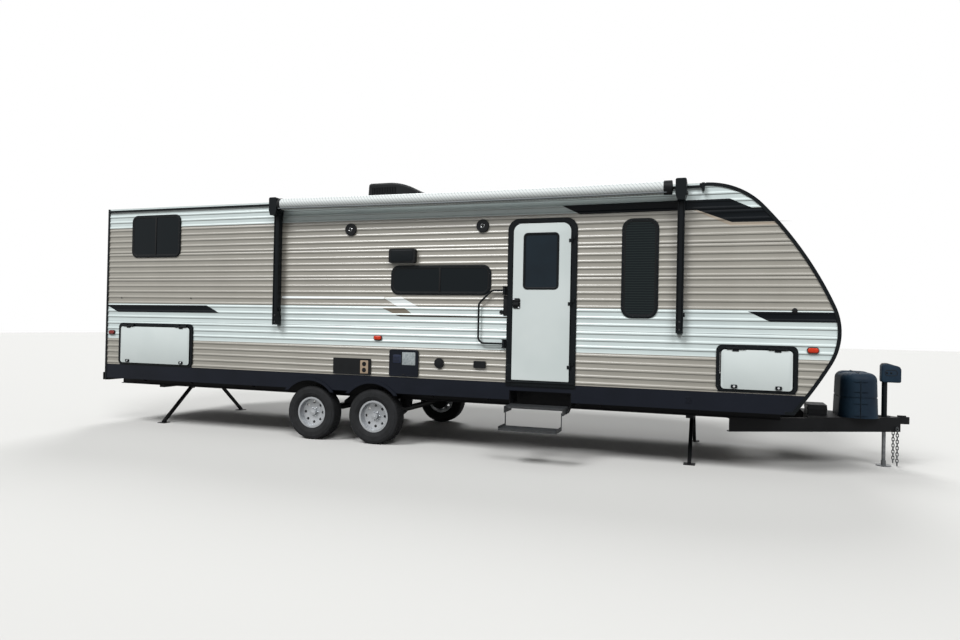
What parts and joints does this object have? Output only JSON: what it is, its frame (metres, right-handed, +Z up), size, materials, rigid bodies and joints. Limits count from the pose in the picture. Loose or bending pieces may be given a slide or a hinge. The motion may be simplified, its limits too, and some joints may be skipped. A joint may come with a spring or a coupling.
{
  "type": "travel caravan",
  "caption": "Tandem-axle towed travel caravan with ribbed siding, awning, entry step, baggage doors, tongue jack and swing-down stabiliser legs.",
  "frame": {"origin": "centre of the tongue jack's foot plate on the ground", "axes": "+X forward along the tongue, -Y towards the entry door side, +Z up"},
  "size_m": [10.093, 3.0253, 3.3071],
  "materials": {
    "awning_vinyl": "vinyl",
    "bright_steel": "plated",
    "chassis_black": "semi-gloss",
    "cover_plastic": "moulded",
    "door_white": "gloss",
    "floor_deck": "matte",
    "front_cap": "satin painted",
    "lamp_lens": "clear lens",
    "roof_membrane": "matte",
    "siding": "satin painted, ribbed",
    "skirt_black": "semi-gloss",
    "tinted_glass": "tinted",
    "tread_steel": "textured",
    "trim_black": "satin",
    "tyre_rubber": "matte",
    "vent_plastic": "moulded",
    "wall_panel": "satin panel",
    "wheel_silver": "metallic paint"
  },
  "bodies": {
    "trailer": {"air_conditioner": "cover_plastic", "awning_arms": "trim_black", "awning_roller": "awning_vinyl", "axles": "chassis_black", "baggage_door_frames": "trim_black", "battery_box": "cover_plastic", "body_trim": "trim_black", "coupler": "chassis_black", "entry_door_frame": "trim_black", "floor": "floor_deck", "frame_rails": "chassis_black", "front_wall": "front_cap", "gas_bottle_cover": "cover_plastic", "jack_housing": "trim_black", "lamps": "lamp_lens", "left_wall": "wall_panel", "luggage_bays": "wall_panel", "outriggers": "chassis_black", "rear_bumper": "chassis_black", "rear_wall": "wall_panel", "right_wall": "wall_panel", "roof": "roof_membrane", "roof_vents": "vent_plastic", "safety_chains": "bright_steel", "siding": "siding", "skirts": "skirt_black", "springs": "chassis_black", "stabiliser_beams": "chassis_black", "step_frame": "chassis_black", "tongue_beams": "chassis_black", "tongue_tray": "chassis_black", "underbelly": "trim_black", "wall_fittings": "chassis_black", "window_frames": "trim_black", "window_glass": "tinted_glass"},
    "entry_door": {"entry_door": "door_white", "entry_door_glass": "tinted_glass", "entry_door_latch": "trim_black"},
    "baggage_door_front_right": {"baggage_door_front_right": "door_white"},
    "baggage_door_front_left": {"baggage_door_front_left": "door_white"},
    "baggage_door_rear_right": {"baggage_door_rear_right": "door_white"},
    "grab_rail": {"grab_rail": "trim_black"},
    "step_links_outer": {"step_links_outer": "chassis_black"},
    "step_links_inner": {"step_links_inner": "chassis_black"},
    "step_upper": {"step_upper": "tread_steel"},
    "step_lower": {"step_lower": "tread_steel"},
    "jack_ram": {"jack_ram": "bright_steel"},
    "wheel_right_rear": {"tyre_right_rear": "tyre_rubber", "rim_right_rear": "wheel_silver"},
    "wheel_left_rear": {"tyre_left_rear": "tyre_rubber", "rim_left_rear": "wheel_silver"},
    "wheel_right_front": {"tyre_right_front": "tyre_rubber", "rim_right_front": "wheel_silver"},
    "wheel_left_front": {"tyre_left_front": "tyre_rubber", "rim_left_front": "wheel_silver"},
    "stabiliser_leg_front_right": {"stabiliser_leg_front_right": "chassis_black"},
    "stabiliser_leg_front_left": {"stabiliser_leg_front_left": "chassis_black"},
    "stabiliser_leg_rear_right": {"stabiliser_leg_rear_right": "chassis_black"},
    "stabiliser_leg_rear_left": {"stabiliser_leg_rear_left": "chassis_black"}
  },
  "joints": [
    {"name": "wheel_right_rear_spin", "type": "hinge", "parent": "trailer", "child": "wheel_right_rear", "pos_m": [-6.467, -1.075, 0.331], "axis": [0, 1, 0], "continuous": true},
    {"name": "wheel_left_rear_spin", "type": "hinge", "parent": "trailer", "child": "wheel_left_rear", "pos_m": [-6.467, 1.075, 0.331], "axis": [0, 1, 0], "continuous": true},
    {"name": "wheel_right_front_spin", "type": "hinge", "parent": "trailer", "child": "wheel_right_front", "pos_m": [-5.616, -1.075, 0.331], "axis": [0, 1, 0], "continuous": true},
    {"name": "wheel_left_front_spin", "type": "hinge", "parent": "trailer", "child": "wheel_left_front", "pos_m": [-5.616, 1.075, 0.331], "axis": [0, 1, 0], "continuous": true},
    {"name": "entry_door_swing", "type": "hinge", "parent": "trailer", "child": "entry_door", "pos_m": [-3.231, -1.249, 1.7], "axis": [0, 0, 1], "range_deg": [0, 170]},
    {"name": "baggage_door_front_right_lift", "type": "hinge", "parent": "trailer", "child": "baggage_door_front_right", "pos_m": [-1.365, -1.249, 1.268], "axis": [-1, 0, 0], "range_deg": [0, 165]},
    {"name": "baggage_door_front_left_lift", "type": "hinge", "parent": "trailer", "child": "baggage_door_front_left", "pos_m": [-1.365, 1.249, 1.268], "axis": [1, 0, 0], "range_deg": [0, 165]},
    {"name": "baggage_door_rear_right_lift", "type": "hinge", "parent": "trailer", "child": "baggage_door_rear_right", "pos_m": [-8.85, -1.249, 1.352], "axis": [-1, 0, 0], "range_deg": [0, 165]},
    {"name": "grab_rail_fold", "type": "hinge", "parent": "trailer", "child": "grab_rail", "pos_m": [-3.98, -1.257, 1.543], "axis": [0, 0, 1], "range_deg": [0, 170]},
    {"name": "step_swing", "type": "hinge", "parent": "trailer", "child": "step_links_outer", "pos_m": [-3.565, -1.13, 0.61], "axis": [1, 0, 0], "range_deg": [0, 96]},
    {"name": "step_swing_inner", "type": "hinge", "parent": "trailer", "child": "step_links_inner", "pos_m": [-3.565, -1.02, 0.61], "axis": [1, 0, 0], "range_deg": [0, 96]},
    {"name": "step_level", "type": "hinge", "parent": "step_links_outer", "child": "step_upper", "pos_m": [-3.565, -1.34613, 0.53134], "axis": [1, 0, 0], "range_deg": [-96, 0]},
    {"name": "step_flip", "type": "hinge", "parent": "step_upper", "child": "step_lower", "pos_m": [-3.565, -1.488, 0.535], "axis": [-1, 0, 0], "range_deg": [0, 180]},
    {"name": "tongue_jack_lift", "type": "slide", "parent": "trailer", "child": "jack_ram", "axis": [0, 0, 1], "range_m": [0, 0.3]},
    {"name": "stabiliser_leg_front_right_fold", "type": "hinge", "parent": "trailer", "child": "stabiliser_leg_front_right", "pos_m": [-2, -0.3, 0.47], "axis": [-1, 0, 0], "range_deg": [0, 40]},
    {"name": "stabiliser_leg_front_left_fold", "type": "hinge", "parent": "trailer", "child": "stabiliser_leg_front_left", "pos_m": [-2, 0.3, 0.47], "axis": [1, 0, 0], "range_deg": [0, 40]},
    {"name": "stabiliser_leg_rear_right_fold", "type": "hinge", "parent": "trailer", "child": "stabiliser_leg_rear_right", "pos_m": [-9.04, -0.3, 0.47], "axis": [-1, 0, 0], "range_deg": [0, 40]},
    {"name": "stabiliser_leg_rear_left_fold", "type": "hinge", "parent": "trailer", "child": "stabiliser_leg_rear_left", "pos_m": [-9.04, 0.3, 0.47], "axis": [1, 0, 0], "range_deg": [0, 40]}
  ],
  "couplings": [
    {"joint": "step_swing_inner", "follows": "step_swing", "ratio": 1},
    {"joint": "step_level", "follows": "step_swing", "ratio": -1}
  ]
}
